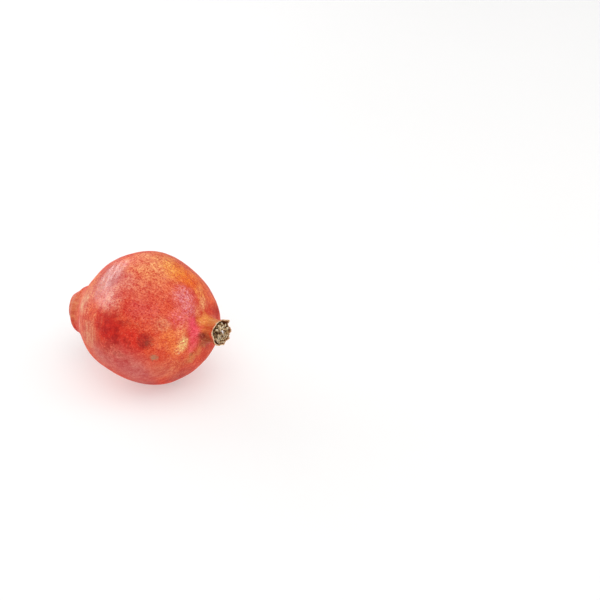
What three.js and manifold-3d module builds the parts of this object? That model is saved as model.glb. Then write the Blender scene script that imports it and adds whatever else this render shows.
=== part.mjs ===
// A whole pomegranate lying on its side, in millimetres, with +Z up and the table at z = 0.
// Straight fruit coordinates come first: a runs along the core from the stem (negative) to the
// crown (positive), and turn is the angle round it, 0 towards +Y and 90 degrees upwards.
// place() then bends the crown and the stem knob a little and lays the fruit down.
import * as THREE from "three";
import { mergeVertices } from "three/addons/utils/BufferGeometryUtils.js";
import Module from "manifold-3d";

const wasm = await Module();
wasm.setup();

const deg = THREE.MathUtils.degToRad;

// Driving dimensions
const BELLY_RADIUS = 45; // half the width across the middle
const LEAN = 8.5; // degrees that the crown end is raised
const REST_DEPTH = 0.9; // how far the flat resting spot is pressed in
const CENTRE_HEIGHT = 43.6 - REST_DEPTH; // the core's middle above the table
const PIT_FLOOR = -58.7; // a of the bottom of the stem pit
const PIT_RADIUS = 3.5;
const CUP_FLOOR = 46.2; // a of the bottom of the crown's cup
const CUP_FLOOR_RADIUS = 4.4;
const CROWN_RIM = 57.0; // a of the crown's edge between the sepals
const SEPALS_FROM = 52.4; // where the tube starts to split into sepals
const GAP = 0.35; // clearance between neighbouring pieces

// The rind's outline as [a, radius], from the pit out over the knob, belly and crown, and into the cup
const OUTSIDE = [
  [PIT_FLOOR, 0],
  [PIT_FLOOR - 0.1, PIT_RADIUS],
  [-60.2, 4.9],
  [-61.6, 7.0],
  [-60.8, 9.7],
  [-57.6, 12.5],
  [-53.3, 16.7],
  [-49.1, 18.2],
  [-44.2, 21.6],
  [-38.0, 28.0],
  [-28.5, 35.7],
  [-15.0, 41.6],
  [0, BELLY_RADIUS],
  [15.0, 43.3],
  [28.0, 36.0],
  [37.0, 27.6],
  [42.0, 21.3],
  [44.5, 12.0],
  [47.4, 8.7],
  [50.9, 7.7],
  [54.4, 7.8],
  [CROWN_RIM - 0.1, 8.4],
];
const INSIDE = [
  [CROWN_RIM + 0.3, 7.8],
  [CROWN_RIM - 1.2, 7.1],
  [52.4, 6.3],
  [48.9, 5.9],
  [CUP_FLOOR + 0.4, CUP_FLOOR_RADIUS + 0.3],
  [CUP_FLOOR, 0],
];
const KNOB_END = 3; // which point of the outside lies furthest out on the knob
const STEPS_ROUND = 64;
const STEPS_PER_POINT = 2;

// Waves round the belly that keep it from being a plain ball: [how many, share of the radius, turn]
const WAVES = [
  [1, 0.024, 89],
  [3, 0.0165, -44],
  [4, 0.021, -7],
  [6, 0.009, 20],
];
const WAVES_FROM = 10; // radius where the waves start to show
const WAVES_FULL = 40;

// Flattened places and one swelling, which has a negative depth: [a, turn, width, depth]
const FACETS = [
  [14, -90, 18, 1.6],
  [24, 55, 17, 0.8],
  [-24, 232, 16, 0.7],
  [20, 186, 15, 0.6],
  [-20, 118, 18, 0.5],
  [6, 8, 19, 1.0],
  [-30, -20, 15, 0.7],
  [-60.5, 100, 6, -1.2],
];

// What is left of the six sepals: where each stands, how far it reaches past the tube,
// how wide it is to each side in degrees, and how far its tip curls outwards
const SEPALS = [
  { turn: 40, reach: 4.2, half: 24, curl: 0.5 },
  { turn: 343, reach: 2.2, half: 24, curl: 0.3 },
  { turn: 292, reach: 1.2, half: 25, curl: 0.4 },
  { turn: 235, reach: 0.9, half: 27, curl: 0.2 },
  { turn: 165, reach: 1.8, half: 34, curl: 1.0 },
  { turn: 100, reach: 1.0, half: 26, curl: 0.1 },
];
const SEPAL_SPLIT = 0.6; // how far the gaps between sepals cut into the tube
const SEPAL_TAPER = 0.8; // 1 gives straight-sided tips, and less gives fuller ones

// The two bends of the core: where each starts, over what length, how far, and towards what turn
const CROWN_BEND = { from: 41, over: 10, angle: 16, towards: 162 };
const KNOB_BEND = { from: 40, over: 12, angle: 7.7, towards: 46 };

// The dried stamens that fill the cup, and the thicker style in their middle
const STAMENS = 60;
const STAMEN_RADIUS = 0.36;
const STAMEN_SIDES = 4;
const STAMEN_STEPS = 3;
const ANTHER = { radius: 0.62, length: 0.95 };
const TUFT_ROOT = CUP_FLOOR + 1.6; // a that the stamens are rooted at, well inside their base
const TUFT_FOOT = 3.6; // radius over which the stamens are rooted
const TUFT_HEAD = 6.0; // radius over which their anthers spread
const TUFT_TOP = 60.2; // a that the longest stamens reach, before their anthers
const TUFT_UNEVEN = 1.2; // how much shorter the shortest stamens are
const TUFT_DOME = 1.2; // how much lower the tuft's edge is than its middle
const TUFT_BASE_TOP = 53.6;
const GOLDEN_ANGLE = 137.5; // sets each next stamen where it has most room
const STYLE = { radius: 0.75, head: 1.25 };
const SEED = 17;

// The woody stub of the stem in its pit
const STUB = { radius: 2.9, length: 3.0, flare: 0.35, sides: 24, ridges: 5, ridgeDepth: 0.06 };
const TABLE = { width: 200, thickness: 20 };

// Repeatable random numbers from 0 to 1
function randomSource(seed) {
  let state = seed;
  return () => {
    state = (state * 1664525 + 1013904223) % 4294967296;
    return state / 4294967296;
  };
}

function solidOf(geometry) {
  const bare = new THREE.BufferGeometry();
  bare.setAttribute("position", geometry.getAttribute("position").clone());
  if (geometry.index) bare.setIndex(geometry.index.clone());
  const merged = mergeVertices(bare, 1e-4);
  return new wasm.Manifold(
    new wasm.Mesh({
      numProp: 3,
      vertProperties: new Float32Array(merged.attributes.position.array),
      triVerts: new Uint32Array(merged.index.array),
    }),
  );
}

function geometryOf(solid) {
  const mesh = solid.getMesh();
  const geometry = new THREE.BufferGeometry();
  geometry.setAttribute(
    "position",
    new THREE.BufferAttribute(new Float32Array(mesh.vertProperties), 3),
  );
  geometry.setIndex(new THREE.BufferAttribute(new Uint32Array(mesh.triVerts), 1));
  geometry.computeVertexNormals();
  return geometry;
}

// Where the bent core runs at distance a from the middle: how far along, how far aside and how much turned
function bendAt(a, bend) {
  const angle = deg(bend.angle);
  const rate = angle / bend.over;
  const inside = THREE.MathUtils.clamp(a - bend.from, 0, bend.over);
  const turned = rate * inside;
  const beyond = Math.max(a - bend.from - bend.over, 0);
  const along = Math.min(a, bend.from) + Math.sin(turned) / rate + beyond * Math.cos(turned);
  const aside = (1 - Math.cos(turned)) / rate + beyond * Math.sin(turned);
  return { along, aside, turned };
}

// Bends a point given as (a, b, c), with b towards turn 0 and c towards turn 90, on one side of the middle
function bendPoint(point, bend, side) {
  if (side * point.x <= bend.from) return;
  const toB = Math.cos(deg(bend.towards));
  const toC = Math.sin(deg(bend.towards));
  const { along, aside, turned } = bendAt(side * point.x, bend);
  const lean = point.y * toB + point.z * toC;
  const shift = aside + lean * Math.cos(turned) - lean;
  point.x = side * (along - lean * Math.sin(turned));
  point.y += shift * toB;
  point.z += shift * toC;
}

// From straight fruit coordinates to the fruit as it lies on the table
function place(point) {
  bendPoint(point, CROWN_BEND, 1);
  bendPoint(point, KNOB_BEND, -1);
  const tilt = deg(LEAN);
  const { x: a, y: b, z: c } = point;
  return point.set(
    a * Math.cos(tilt) - c * Math.sin(tilt),
    b,
    a * Math.sin(tilt) + c * Math.cos(tilt) + CENTRE_HEIGHT,
  );
}

// Runs a function over every vertex of a geometry
function reshape(geometry, change) {
  const position = geometry.getAttribute("position");
  const point = new THREE.Vector3();
  for (let i = 0; i < position.count; i++) {
    point.fromBufferAttribute(position, i);
    change(point);
    position.setXYZ(i, point.x, point.y, point.z);
  }
  return geometry;
}

// A lathe round the core: three.js turns its profile round Y, and the core runs along X here
function latheAlongCore(profile, sides) {
  const geometry = new THREE.LatheGeometry(
    profile.map(([a, radius]) => new THREE.Vector2(radius, a)),
    sides,
  );
  return reshape(geometry, (p) => p.set(p.y, p.z, p.x));
}

function smoothProfile(points, stepsPerPoint) {
  const curve = new THREE.SplineCurve(points.map(([a, r]) => new THREE.Vector2(a, r)));
  return curve
    .getPoints((points.length - 1) * stepsPerPoint)
    .map((p) => [p.x, Math.max(p.y, 0)]);
}

// How far each sepal shows at a turn, from 0 beside it to 1 on its middle line
function sepalShare(sepal, turn) {
  const away = Math.abs(THREE.MathUtils.euclideanModulo(turn - sepal.turn + 180, 360) - 180);
  return Math.max(0, 1 - away / sepal.half);
}

function crownEdge(turn) {
  let rise = -SEPAL_SPLIT;
  let curl = 0;
  for (const sepal of SEPALS) {
    const share = sepalShare(sepal, turn);
    rise += (sepal.reach + SEPAL_SPLIT) * share ** SEPAL_TAPER;
    curl += sepal.curl * share;
  }
  return { rise, curl };
}

// Radius of the plain outline at a, for setting the facets' centres on the skin
function outlineRadius(a) {
  const next = OUTSIDE.findIndex(([at], i) => i > KNOB_END && at >= a);
  const [a0, r0] = OUTSIDE[next - 1];
  const [a1, r1] = OUTSIDE[next];
  return r0 + ((r1 - r0) * (a - a0)) / (a1 - a0);
}

const facetCentres = FACETS.map(([a, turn, width, depth]) => {
  const radius = outlineRadius(a);
  const centre = new THREE.Vector3(
    a,
    radius * Math.cos(deg(turn)),
    radius * Math.sin(deg(turn)),
  );
  return { centre, inwards: centre.clone().normalize().negate(), width, depth };
});

// Gives the plain lathe the real fruit's waves, sepals and flattened places
function shapeRind(point) {
  const turn = THREE.MathUtils.radToDeg(Math.atan2(point.z, point.y));
  let radius = Math.hypot(point.y, point.z);
  const shown = THREE.MathUtils.clamp((radius - WAVES_FROM) / (WAVES_FULL - WAVES_FROM), 0, 1);
  let wave = 1;
  for (const [count, share, phase] of WAVES) {
    wave += share * Math.cos(deg(count * (turn - phase))) * shown;
  }
  radius *= wave;
  if (point.x > SEPALS_FROM) {
    const { rise, curl } = crownEdge(turn);
    const share = (point.x - SEPALS_FROM) / (CROWN_RIM - SEPALS_FROM);
    point.x += rise * share;
    radius += curl * share * share;
  }
  point.y = radius * Math.cos(deg(turn));
  point.z = radius * Math.sin(deg(turn));
  for (const { centre, inwards, width, depth } of facetCentres) {
    const distance = point.distanceTo(centre) / width;
    point.addScaledVector(inwards, depth * Math.exp(-distance * distance));
  }
  place(point);
}

// Rind, crown tube and sepals grew as one piece. The table presses its resting spot flat.
function makeRind() {
  const profile = smoothProfile([...OUTSIDE, ...INSIDE], STEPS_PER_POINT);
  const skin = reshape(latheAlongCore(profile, STEPS_ROUND), shapeRind);
  const table = new THREE.BoxGeometry(TABLE.width, TABLE.width, TABLE.thickness);
  table.translate(0, 0, -TABLE.thickness / 2);
  return geometryOf(solidOf(skin).subtract(solidOf(table)));
}

// One stamen in straight fruit coordinates: a thin curved filament and the anther on its end
function makeStamen(random, index) {
  const turn = index * deg(GOLDEN_ANGLE);
  const spread = Math.sqrt((index + 1) / STAMENS);
  const foot = spread * TUFT_FOOT * 0.9;
  const head = spread * TUFT_HEAD * (0.9 + 0.14 * random());
  const twist = 0.9 * (random() - 0.5);
  const top = TUFT_TOP - TUFT_UNEVEN * random() - TUFT_DOME * spread;
  const at = (a, radius, angle) =>
    new THREE.Vector3(a, radius * Math.cos(angle), radius * Math.sin(angle));
  const line = new THREE.CatmullRomCurve3([
    at(TUFT_ROOT, foot, turn),
    at((CUP_FLOOR + top) / 2, (foot + head) * 0.57, turn + twist * 0.4),
    at(top - 1.0, head, turn + twist),
    at(top, head * (0.84 + 0.18 * random()), turn + twist * 1.3),
  ]);
  const section = new THREE.Shape(
    Array.from({ length: STAMEN_SIDES }, (_, i) => {
      const angle = (i * 2 * Math.PI) / STAMEN_SIDES;
      return new THREE.Vector2(
        STAMEN_RADIUS * Math.cos(angle),
        STAMEN_RADIUS * Math.sin(angle),
      );
    }),
  );
  const filament = new THREE.ExtrudeGeometry(section, {
    steps: STAMEN_STEPS,
    extrudePath: line,
  });
  const anther = new THREE.IcosahedronGeometry(1, 0)
    .scale(ANTHER.radius, ANTHER.radius, ANTHER.length)
    .rotateX(random() * Math.PI)
    .rotateZ(random() * Math.PI)
    .translate(...line.getPoint(1).toArray());
  return [solidOf(filament), solidOf(anther)];
}

// The style stands in the middle, from the base up to its blunt head
function makeStyle() {
  const profile = [
    [TUFT_ROOT, 0],
    [TUFT_ROOT, STYLE.radius],
    [TUFT_TOP - 2, STYLE.radius],
    [TUFT_TOP - 0.8, STYLE.head],
    [TUFT_TOP + 0.2, STYLE.head * 0.8],
    [TUFT_TOP + 0.4, 0],
  ];
  return solidOf(latheAlongCore(profile, 8));
}

// The withered base that every stamen is rooted in, a low dome on the cup's floor
function makeTuftBase() {
  const floor = CUP_FLOOR + GAP;
  const profile = [
    [floor, 0],
    [floor, CUP_FLOOR_RADIUS - GAP],
    [floor + 1.6, 4.8],
    [TUFT_BASE_TOP - 2.2, 5.2],
    [TUFT_BASE_TOP - 0.6, 4.4],
    [TUFT_BASE_TOP, 2.2],
    [TUFT_BASE_TOP, 0],
  ];
  return solidOf(latheAlongCore(profile, 20));
}

function makeStamens() {
  const random = randomSource(SEED);
  const pieces = [makeTuftBase(), makeStyle()];
  for (let i = 0; i < STAMENS; i++) pieces.push(...makeStamen(random, i));
  const tuft = pieces.reduce((whole, piece) => whole.add(piece));
  return reshape(geometryOf(tuft), place);
}

// Clipped end of the stem: bark with a few ridges, a cut face and a small pith hollow
function makeStemStub() {
  const inner = PIT_FLOOR - GAP;
  const end = inner - STUB.length;
  const profile = [
    [end + 0.35, 0],
    [end + 0.3, 0.7],
    [end, 0.9],
    [end, STUB.radius - 0.6],
    [end + 0.4, STUB.radius - 0.2],
    [inner - 0.9, STUB.radius - STUB.flare],
    [inner, STUB.radius],
    [inner, 0],
  ];
  const stub = latheAlongCore(profile, STUB.sides);
  return reshape(stub, (point) => {
    const angle = Math.atan2(point.z, point.y);
    const ridge = 1 - STUB.ridgeDepth * (1 - Math.cos(STUB.ridges * angle));
    point.y *= ridge;
    point.z *= ridge;
    place(point);
  });
}

const MATERIALS = {
  rind: { color: 0xdc6a4c, roughness: 0.42, metalness: 0 },
  stamens: { color: 0xa8895c, roughness: 0.85, metalness: 0 },
  stem: { color: 0x7a5c3c, roughness: 0.9, metalness: 0 },
};

const pomegranate = new THREE.Group();

function add(name, geometry, material) {
  const mesh = new THREE.Mesh(geometry, new THREE.MeshStandardMaterial(material));
  mesh.name = name;
  pomegranate.add(mesh);
}

add("rind", makeRind(), MATERIALS.rind);
add("stamens", makeStamens(), MATERIALS.stamens);
add("stem_stub", makeStemStub(), MATERIALS.stem);

export default pomegranate;
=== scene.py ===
"""A whole pomegranate on a white table: fine skin, crown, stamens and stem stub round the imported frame.

Straight fruit coordinates are the same as the solids have, in millimetres: a runs along the core from
the stem (negative) to the crown, and turn is the angle round it, 0 towards +Y and 90 degrees upwards.
"""
import math

import bpy
import numpy as np
from mathutils import Matrix, Vector, noise


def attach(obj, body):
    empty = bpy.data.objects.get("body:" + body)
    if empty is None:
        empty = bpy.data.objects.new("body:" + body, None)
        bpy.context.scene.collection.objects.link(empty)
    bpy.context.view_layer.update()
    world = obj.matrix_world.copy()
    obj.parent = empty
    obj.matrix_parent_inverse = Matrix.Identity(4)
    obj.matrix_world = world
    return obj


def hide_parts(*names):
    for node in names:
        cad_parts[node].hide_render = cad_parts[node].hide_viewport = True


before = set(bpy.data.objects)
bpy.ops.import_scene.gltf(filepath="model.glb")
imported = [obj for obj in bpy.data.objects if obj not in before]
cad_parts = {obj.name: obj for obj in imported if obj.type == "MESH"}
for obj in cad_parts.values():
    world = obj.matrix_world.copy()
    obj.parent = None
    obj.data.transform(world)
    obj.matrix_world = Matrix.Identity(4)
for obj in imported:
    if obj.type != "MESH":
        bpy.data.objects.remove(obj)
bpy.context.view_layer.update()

MM = 0.001
TAU = 2 * math.pi

# The fruit's driving dimensions, as in the solids
BELLY_RADIUS = 45
LEAN = 8.5
CENTRE_HEIGHT = 42.7
PIT_FLOOR = -58.7
PIT_RADIUS = 3.5
CUP_FLOOR = 46.2
CUP_FLOOR_RADIUS = 4.4
CROWN_RIM = 57.0
SEPALS_FROM = 52.4
GAP = 0.35

# The outline as (a, radius, how many rows of faces the fine skin has up to the next point)
OUTSIDE = [
    (PIT_FLOOR, 0, 5),
    (PIT_FLOOR - 0.1, PIT_RADIUS, 5),
    (-60.2, 4.9, 5),
    (-61.6, 7.0, 6),
    (-60.8, 9.7, 8),
    (-57.6, 12.5, 9),
    (-53.3, 16.7, 8),
    (-49.1, 18.2, 9),
    (-44.2, 21.6, 12),
    (-38.0, 28.0, 15),
    (-28.5, 35.7, 17),
    (-15.0, 41.6, 17),
    (0, BELLY_RADIUS, 17),
    (15.0, 43.3, 17),
    (28.0, 36.0, 15),
    (37.0, 27.6, 12),
    (42.0, 21.3, 12),
    (44.5, 12.0, 10),
    (47.4, 8.7, 9),
    (50.9, 7.7, 10),
    (54.4, 7.8, 12),
    (CROWN_RIM - 0.1, 8.4, 3),
]
INSIDE = [
    (CROWN_RIM + 0.2, 7.9, 4),
    (CROWN_RIM - 1.2, 7.3, 8),
    (52.4, 6.3, 4),
    (48.9, 5.9, 3),
    (CUP_FLOOR + 0.4, CUP_FLOOR_RADIUS + 0.3, 2),
    (CUP_FLOOR, 0, 0),
]
COLUMNS = 360

# Slow waves round the belly, as (how many, share of the radius, turn of the first crest), and the
# radii between which they come in
WAVES = [(1, 0.024, 89), (3, 0.0165, -44), (4, 0.021, -7), (6, 0.009, 20)]
WAVES_FROM = 10
WAVES_FULL = 40
# Soft flats on the skin as (a, turn, width, depth), where a depth below zero is a swelling
FACETS = [
    (14, -90, 18, 1.6),
    (24, 55, 17, 0.8),
    (-24, 232, 16, 0.7),
    (20, 186, 15, 0.6),
    (-20, 118, 18, 0.5),
    (6, 8, 19, 1.0),
    (-30, -20, 15, 0.7),
    (-60.5, 100, 6, -1.2),
    (-46, 108, 7, -1.3),
]
# The crown's torn edge, as pieces of (turn, reach past the rim, half width in degrees, curl, taper)
SEPALS = [
    (44, 4.5, 26, 1.0, 0.9),
    (8, 1.4, 9, -0.5, 0.5),
    (345, 1.7, 15, 0.5, 0.5),
    (324, 1.5, 10, -0.6, 0.5),
    (305, 1.9, 14, 0.5, 0.5),
    (284, 1.5, 9, -0.5, 0.5),
    (266, 1.9, 14, 0.4, 0.5),
    (236, 1.5, 24, 0.6, 0.5),
    (205, 2.2, 16, 0.4, 0.5),
    (172, 2.7, 46, 0.0, 0.4),
    (148, 2.6, 20, 0.7, 0.25),
    (118, 2.5, 36, 0.2, 0.4),
    (82, 1.9, 28, 0.1, 0.5),
]
EDGE_REACH = 0.9
# The ring round the core on which the edge's noise is read
EDGE_RING = 8
# Uneven detail as (size of its bumps, height, seed), in millimetres
EDGE_CURLS = (1.6, 0.3, 6.6)
EDGE_CHIPS = (1.3, 0.35, 2.2)
EDGE_CRUMBS = (0.5, 0.25, 4.4)
SKIN_SWELLS = (14, 0.16, 3.1)
SKIN_DENTS = (4, 0.05, 7.7)
KNOB_WRINKLES = (2.2, 0.28, 1.9)
TUBE_FOLDS = (2.6, 0.2, 5.3)
TUBE_RIBS = 6
TUBE_RIB_HEIGHT = 0.16
TUBE_RIB_TURN = 40
# Folds run along the fruit, so their noise is read on a thin stand-in for it, of this radius and with
# this share of its length
FOLD_RADIUS = 9
FOLD_LENGTH_SHARE = 0.12
# The knob's wrinkles are deepest here and fade out at this distance
WRINKLES_AT = -50
WRINKLES_REACH = 10
# Spans count the outline's points from the stem, here up to the tube's foot and the rim
TUBE_SPAN = 17
RIM_SPAN = len(OUTSIDE) - 1
# The fine skin keeps this share of the outline's size, so that its relief stays within the solid's box
SKIN_SHARE = 0.998
# The shallow crease round the knob's foot
KNOB_CREASE = -49.6
CREASE_WIDTH = 1.3
CREASE_DEPTH = 0.38
CREASE_WANDER = (5.0, 1.3, 3.3)
CREASE_BREAKS = (3.4, 1.4, 8.8)
# How softly the skin's underside goes over to the table
REST_SOFTNESS = 0.15
# Each bend as (from, over, angle, towards)
CROWN_BEND = (41, 10, 16, 162)
KNOB_BEND = (40, 12, 7.7, 46)

# The stamens, the style and the disc they grow from
STAMENS = 210
STAMEN_SEED = 5
GOLDEN_ANGLE = 137.5
STAMEN_JITTER = 9
STAMEN_LEAN = 26
# The tuft widens from its foot to its head, is fuller towards one turn, and has an uneven domed top
TUFT_ROOT = CUP_FLOOR + 1.6
TUFT_FOOT = 3.9
TUFT_HEAD = 6.3
TUFT_FULLER = 0.7
TUFT_FULLER_TURN = 222
TUFT_JITTER = 0.3
TUFT_TOP = 60.3
TUFT_UNEVEN = 2.1
TUFT_DOME = 1.5
TUFT_BASE_TOP = 53.6
THREAD_RADIUS = 0.2
THREAD_TAPER = (1.15, 0.75)
THREAD_FLATNESS = 0.7
THREAD_STEPS = 7
THREAD_SIDES = 6
THREAD_WAVER = 0.08
LOOSE_THREADS = 26
LOOSE_RADIUS = 0.7 * THREAD_RADIUS
LOOSE_DEPTH = (0.3, 1.2)
LOOSE_SPREAD = 3.2
LOOSE_HALF_LENGTH = (1.0, 1.9)
# How far loose threads bow and point along the core and across it
LOOSE_BOW = (0.35, 1.1, 1.1)
LOOSE_AIM = (0.25, 1, 1)
LOOSE_TONE = (0.7, 1)
ANTHER_LENGTH = (1.1, 1.9)
ANTHER_WIDTH = (0.7, 1.15)
ANTHER_SIDES = 8
ANTHER_ROWS = 6
ANTHER_CURL = (0.1, 0.45)
ANTHER_GROOVE = 0.32
ANTHER_FLATNESS = 0.8
ANTHER_TILT = 0.75
CLUMP_SIZE = 2.6
CLUMP_CONTRAST = 0.95
TONE_JITTER = 0.4
# The style's middle line as (a, radius, turn), and its thickness as (share of the way, radius)
STYLE_PATH = [(TUFT_ROOT, 0, 0), (54, 0.2, 100), (58.4, 0.4, 250), (60.1, 0.5, 100), (60.0, 2.2, 95)]
STYLE_RADII = [(0, 0.85), (0.5, 0.6), (0.72, 0.6), (0.86, 0.8), (0.97, 0.85), (1, 0.4)]
STYLE_FLATNESS = 0.8
STYLE_STEPS = 26
STYLE_SIDES = 16

DISC_FLOOR = CUP_FLOOR + GAP
DISC_PROFILE = [
    (DISC_FLOOR, 0),
    (DISC_FLOOR, 4.05),
    (DISC_FLOOR + 1.6, 4.8),
    (51.4, 5.2),
    (53.0, 4.4),
    (TUFT_BASE_TOP, 2.2),
    (TUFT_BASE_TOP, 0),
]
# Ridges as (height, how many round the body), coarse and fine
DISC_FOLDS = ((0.16, 13), (0.1, 29))
BARK_RIDGES = ((0.1, 9), (0.05, 23))

# The stem stub
STUB_RADIUS = 2.9
STUB_LENGTH = 3.0
STUB_ROOT = PIT_FLOOR - GAP
STUB_END = STUB_ROOT - STUB_LENGTH
# Its outline, and how far below that the bark's middle height lies
STUB_PROFILE = [
    (STUB_END, 0),
    (STUB_END + 0.1, 1.2),
    (STUB_END - 0.05, 2.1),
    (STUB_END + 0.15, STUB_RADIUS - 0.12),
    (STUB_END + 0.9, STUB_RADIUS - 0.05),
    (STUB_ROOT - 0.8, STUB_RADIUS),
    (STUB_ROOT - 0.1, STUB_RADIUS + 0.3),
    (STUB_ROOT, 2.4),
    (STUB_ROOT, 0),
]
BARK_DEPTH = 0.06

# A direction that no thread follows, from which the sides of its section are found
ASKEW = (0.31, 0.52, 0.79)


def cos_deg(angle):
    return np.cos(np.radians(angle))


def sin_deg(angle):
    return np.sin(np.radians(angle))


def polar(a, radius, turn):
    """Points in straight coordinates from the place along the core, the radius and the turn."""
    return np.stack([a, radius * cos_deg(turn), radius * sin_deg(turn)], -1)


def bend(a, b, c, how, side):
    """Bends points past one end of the middle, as the solids are bent."""
    start, over, angle, towards = how
    rate = math.radians(angle) / over
    x = side * a
    turned = rate * np.clip(x - start, 0, over)
    beyond = np.clip(x - start - over, 0, None)
    along = np.minimum(x, start) + np.sin(turned) / rate + beyond * np.cos(turned)
    aside = (1 - np.cos(turned)) / rate + beyond * np.sin(turned)
    to_b, to_c = cos_deg(towards), sin_deg(towards)
    lean = b * to_b + c * to_c
    shift = aside + lean * np.cos(turned) - lean
    return side * (along - lean * np.sin(turned)), b + shift * to_b, c + shift * to_c


def place(a, b, c):
    """From straight fruit coordinates to the fruit as it lies on the table, in millimetres."""
    a, b, c = bend(a, b, c, CROWN_BEND, 1)
    a, b, c = bend(a, b, c, KNOB_BEND, -1)
    x = a * cos_deg(LEAN) - c * sin_deg(LEAN)
    z = a * sin_deg(LEAN) + c * cos_deg(LEAN) + CENTRE_HEIGHT
    return np.stack([x, b, z], -1)


def spline_at(points, t):
    """A uniform Catmull-Rom curve through the points at the parameters t, one unit to each span."""
    points = np.array(points, float)
    last = len(points) - 1
    i = np.minimum(t.astype(int), last - 1)
    w = (t - i)[:, None]
    here, ahead = points[i], points[i + 1]
    before = points[np.maximum(i - 1, 0)]
    after = points[np.minimum(i + 2, last)]
    slope_in, slope_out = (ahead - before) / 2, (after - here) / 2
    return (
        (2 * here - 2 * ahead + slope_in + slope_out) * w**3
        + (-3 * here + 3 * ahead - 2 * slope_in - slope_out) * w**2
        + slope_in * w
        + here
    )


def outline_radius(a):
    known = np.array([(at, r) for at, r, _ in OUTSIDE[3:]])
    return np.interp(a, known[:, 0], known[:, 1])


def skin_point(a, turn):
    """The place of a point on the plain outline, for setting marks and colours on the skin, in metres."""
    radius = outline_radius(a)
    return place(np.float64(a), radius * cos_deg(turn), radius * sin_deg(turn)) * MM


def uneven(points, detail):
    """Smooth ups and downs at points in millimetres, for a detail of (size, height, seed)."""
    size, height, seed = detail
    shift = Vector((seed, seed * 0.7, -seed))
    values = [noise.noise(Vector(p) + shift) for p in points.reshape(-1, 3) / size]
    return height * np.array(values).reshape(points.shape[:-1])


# Meshes

def mesh_object(name, vertices, faces):
    """A smooth mesh object at the origin, with its vertices in metres."""
    mesh = bpy.data.meshes.new(name)
    mesh.from_pydata([tuple(v) for v in vertices], [], faces)
    mesh.validate()
    mesh.polygons.foreach_set("use_smooth", [True] * len(mesh.polygons))
    thing = bpy.data.objects.new(name, mesh)
    bpy.context.scene.collection.objects.link(thing)
    return thing


def set_attribute(thing, name, values):
    """Stores one number per vertex for the material to read."""
    attribute = thing.data.attributes.new(name, "FLOAT", "POINT")
    attribute.data.foreach_set("value", np.asarray(values, dtype=np.float32))


def closed_grid(name, points):
    """A closed mesh from rows of points in millimetres, whose first and last row are one point each."""
    rows, columns, _ = points.shape
    vertices = np.concatenate([points[:1, 0], points[1:-1].reshape(-1, 3), points[-1:, 0]]) * MM
    last = len(vertices) - 1
    faces = []
    for j in range(columns):
        k = (j + 1) % columns
        faces.append((0, 1 + j, 1 + k))
        for i in range(rows - 3):
            row, after = 1 + i * columns, 1 + (i + 1) * columns
            faces.append((row + j, after + j, after + k, row + k))
        row = 1 + (rows - 3) * columns
        faces.append((last, row + k, row + j))
    return mesh_object(name, vertices, faces)


def crown_edge(turn):
    """How far the crown's edge rises past the tube at a turn, and how far it curls out."""
    rise = np.full_like(turn, EDGE_REACH)
    ring = polar(0 * turn, EDGE_RING, turn)
    curl = uneven(ring, EDGE_CURLS)
    for middle, reach, half, out, taper in SEPALS:
        away = np.abs((turn - middle + 180) % 360 - 180)
        share = np.clip(1 - away / half, 0, None)
        rise = np.maximum(rise, EDGE_REACH + (reach - EDGE_REACH) * share**taper)
        curl = curl + out * np.sqrt(share)
    return rise + uneven(ring, EDGE_CHIPS) + uneven(ring, EDGE_CRUMBS), curl


def rind_grid():
    """The skin's points in straight coordinates, row by row from the stem pit to the cup's floor."""
    profile = OUTSIDE + INSIDE
    steps = [rows for _, _, rows in profile[:-1]]
    t = np.concatenate([i + np.arange(n) / n for i, n in enumerate(steps)] + [[len(steps)]])
    outline = spline_at([(a, r) for a, r, _ in profile], t)
    turn = np.arange(COLUMNS) * 360 / COLUMNS
    a, turn = np.meshgrid(outline[:, 0], turn, indexing="ij")
    radius = np.repeat(np.clip(outline[:, 1:], 0, None), COLUMNS, axis=1)
    span = np.repeat(t[:, None], COLUMNS, axis=1)
    return a, radius, turn, span


def push_facets(a, b, c):
    """Presses the soft flats in, towards the fruit's middle."""
    for at, turn, width, depth in FACETS:
        centre = polar(at, outline_radius(at), turn)
        inwards = -centre / np.linalg.norm(centre)
        distance = np.sqrt((a - centre[0]) ** 2 + (b - centre[1]) ** 2 + (c - centre[2]) ** 2)
        push = depth * np.exp(-((distance / width) ** 2))
        a, b, c = a + push * inwards[0], b + push * inwards[1], c + push * inwards[2]
    return a, b, c


def rind_relief(a, radius, turn, span):
    """Small rises and dents of the skin, in millimetres: swells, knob wrinkles, crease and tube ribs."""
    ball = polar(a, radius, turn)
    relief = uneven(ball, SKIN_SWELLS) + uneven(ball, SKIN_DENTS)
    around = polar(a * FOLD_LENGTH_SHARE, FOLD_RADIUS, turn)
    knob = np.clip(1 - np.abs(a - WRINKLES_AT) / WRINKLES_REACH, 0, 1)
    relief = relief + knob * uneven(around, KNOB_WRINKLES)
    off_crease = (a - KNOB_CREASE - uneven(around, CREASE_WANDER)) / CREASE_WIDTH
    crease = np.exp(-(off_crease**2))
    relief = relief - CREASE_DEPTH * crease * np.clip(0.8 + uneven(around, CREASE_BREAKS), 0, 1.5)
    tube = np.clip((span - TUBE_SPAN) / 2, 0, 1) * np.clip((RIM_SPAN + 0.5 - span) * 2, 0, 1)
    ribs = TUBE_RIB_HEIGHT * cos_deg(TUBE_RIBS * (turn - TUBE_RIB_TURN))
    relief = relief + tube * (ribs + uneven(around, TUBE_FOLDS))
    # The relief fades out in the stem pit and inside the rim
    return relief * np.clip(span / 2, 0, 1) * np.clip(RIM_SPAN + 2 - span, 0, 1)


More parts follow.
